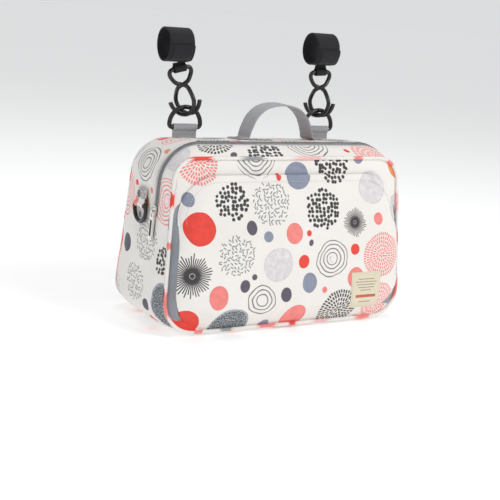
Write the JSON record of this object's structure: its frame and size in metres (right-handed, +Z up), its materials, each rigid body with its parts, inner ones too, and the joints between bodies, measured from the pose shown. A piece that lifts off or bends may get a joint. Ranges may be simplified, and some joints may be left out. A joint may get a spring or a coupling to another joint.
{
  "type": "hanging nursery bag",
  "caption": "Soft box-shaped bag with a zipped mouth, open front pocket, top handle, D-rings and two hooks with straps that hang it from a handlebar.",
  "frame": {"origin": "middle of the flat base, on the base face", "axes": "+Z up, front pocket faces -Y, +X to the right seen from the front"},
  "size_m": [0.349, 0.1671, 0.3526],
  "materials": {
    "printed": "off-white plain-weave oxford cloth printed with red, pink, grey and black discs",
    "grey_cloth": "plain grey lining cloth, light sheen",
    "grey_webbing": "grey ribbed polyester webbing",
    "lining": "grey taffeta lining",
    "foam": "closed-cell foam sheet",
    "mesh_cloth": "fine grey mesh",
    "elastic": "ribbed elastic band",
    "board": "stiff sheet, matte",
    "label": "cream woven label with plain bars",
    "zip_tape": "grey woven zip tape",
    "zip_coil": "grey nylon coil",
    "zip_metal": "nickel plated, polished",
    "pull_inlay": "black moulded inlay",
    "black_plastic": "black acetal, satin",
    "black_webbing": "black webbing with hook-and-loop face"
  },
  "bodies": {
    "root": {"back_foam": "foam", "back_lining": "lining", "back_panel": "printed", "back_piping": "printed", "base_board": "board", "front_foam_lower": "foam", "front_lining_lower": "lining", "front_panel_lower": "printed", "front_piping_lower": "printed", "gusset_lining": "lining", "handle_foot_left": "grey_webbing", "handle_foot_right": "grey_webbing", "inner_pocket": "mesh_cloth", "inner_pocket_elastic": "elastic", "label": "label", "pocket_bellows_lower": "grey_cloth", "pocket_panel_lower": "printed", "side_base_gusset": "printed", "side_tab_left": "printed", "side_tab_right": "printed", "top_strip_rear": "printed", "top_tab_left": "grey_webbing", "top_tab_right": "grey_webbing", "zipper_coil_rear": "zip_coil", "zipper_tape_rear": "zip_tape"},
    "front_flap": {"front_panel_upper": "printed", "front_foam_upper": "foam", "front_lining_upper": "lining", "top_strip_front": "printed", "zipper_tape_front": "zip_tape", "zipper_coil_front": "zip_coil", "front_piping_upper": "printed"},
    "pocket_front": {"pocket_panel_upper": "printed", "pocket_hem": "printed", "pocket_bellows_upper": "grey_cloth"},
    "zipper_slider": {"zipper_slider": "zip_metal"},
    "zipper_pull": {"zipper_pull": "zip_metal", "zipper_pull_inlay": "pull_inlay"},
    "top_ring_left": {"top_ring_left": "black_plastic"},
    "top_ring_right": {"top_ring_right": "black_plastic"},
    "side_ring_left": {"side_ring_left": "black_plastic"},
    "side_ring_right": {"side_ring_right": "black_plastic"},
    "hook_left": {"stroller_hook_left": "black_plastic"},
    "hook_right": {"stroller_hook_right": "black_plastic"},
    "strap_left": {"hanger_loop_left": "black_webbing", "bar_strap_left": "black_webbing"},
    "strap_right": {"hanger_loop_right": "black_webbing", "bar_strap_right": "black_webbing"},
    "handle": {"handle_strap": "grey_webbing"}
  },
  "joints": [
    {"name": "mouth_open", "type": "hinge", "parent": "root", "child": "front_flap", "pos_m": [0, -0.076, 0.134], "axis": [1, 0, 0], "range_deg": [0, 30]},
    {"name": "pocket_open", "type": "hinge", "parent": "front_flap", "child": "pocket_front", "pos_m": [0, -0.076, 0.134], "axis": [1, 0, 0], "range_deg": [0, 18]},
    {"name": "zipper_slide", "type": "slide", "parent": "root", "child": "zipper_slider", "axis": [0.054, 0, 0.9985], "range_m": [0, 0.024]},
    {"name": "pull_swing", "type": "hinge", "parent": "zipper_slider", "child": "zipper_pull", "pos_m": [-0.16883, -0.026, 0.13928], "axis": [0, 1, 0], "range_deg": [0, 150]},
    {"name": "top_ring_left_swing", "type": "hinge", "parent": "root", "child": "top_ring_left", "pos_m": [-0.098, 0.05, 0.228], "axis": [-1, 0, 0], "range_deg": [-25, 90]},
    {"name": "top_ring_right_swing", "type": "hinge", "parent": "root", "child": "top_ring_right", "pos_m": [0.098, 0.05, 0.228], "axis": [-1, 0, 0], "range_deg": [-25, 90]},
    {"name": "hook_left_swing", "type": "hinge", "parent": "top_ring_left", "child": "hook_left", "pos_m": [-0.098, 0.05, 0.253], "axis": [-1, 0, 0], "range_deg": [-20, 60]},
    {"name": "hook_right_swing", "type": "hinge", "parent": "top_ring_right", "child": "hook_right", "pos_m": [0.098, 0.05, 0.253], "axis": [-1, 0, 0], "range_deg": [-40, 60]},
    {"name": "strap_left_swing", "type": "hinge", "parent": "hook_left", "child": "strap_left", "pos_m": [-0.10966, 0.05, 0.29977], "axis": [-0.9703, 0, -0.2419], "range_deg": [-30, 30]},
    {"name": "strap_right_swing", "type": "hinge", "parent": "hook_right", "child": "strap_right", "pos_m": [0.0945, 0.05, 0.30308], "axis": [-0.9976, 0, -0.0698], "range_deg": [-30, 30]},
    {"name": "side_ring_left_swing", "type": "hinge", "parent": "root", "child": "side_ring_left", "pos_m": [-0.17018, 0.008, 0.141], "axis": [0, 1, 0], "range_deg": [0, 115]},
    {"name": "side_ring_right_swing", "type": "hinge", "parent": "root", "child": "side_ring_right", "pos_m": [0.17018, 0.008, 0.141], "axis": [0, -1, 0], "range_deg": [0, 115]},
    {"name": "handle_lean", "type": "hinge", "parent": "root", "child": "handle", "pos_m": [0.013, 0.014, 0.23776], "axis": [1, 0, 0], "range_deg": [-25, 25], "stiffness_Nm_per_rad": 0.05}
  ]
}
